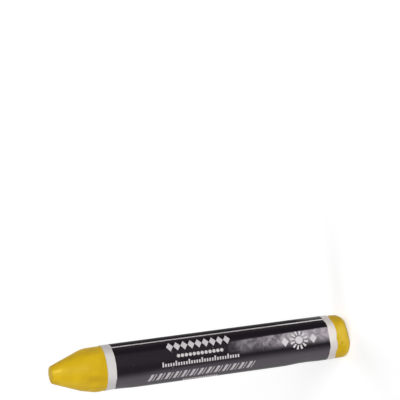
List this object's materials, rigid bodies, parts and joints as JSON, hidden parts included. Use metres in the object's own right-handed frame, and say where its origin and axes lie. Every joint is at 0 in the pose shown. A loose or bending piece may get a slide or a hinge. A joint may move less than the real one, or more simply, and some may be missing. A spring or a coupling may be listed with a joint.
{
  "type": "marking chalk stick",
  "caption": "Thick round stick of marking chalk with a blunt cone point, wrapped in a glued paper label, standing on its blunt end.",
  "frame": {"origin": "centre of the flat on the blunt end, which the stick stands on", "axes": "+Z along the stick's axis towards the point; -Y is the front, where the label's print faces, and the label's lap runs down the stick 59 degrees round from it towards +X"},
  "size_m": [0.0175, 0.0174, 0.1205],
  "materials": {
    "chalk": "waxy moulded chalk, satin with a slight powdery bloom",
    "label": "black print on coated white paper, glossy, with bare white margins"
  },
  "bodies": {
    "root": {"chalk_stick": "chalk", "paper_label": "label"}
  },
  "joints": []
}
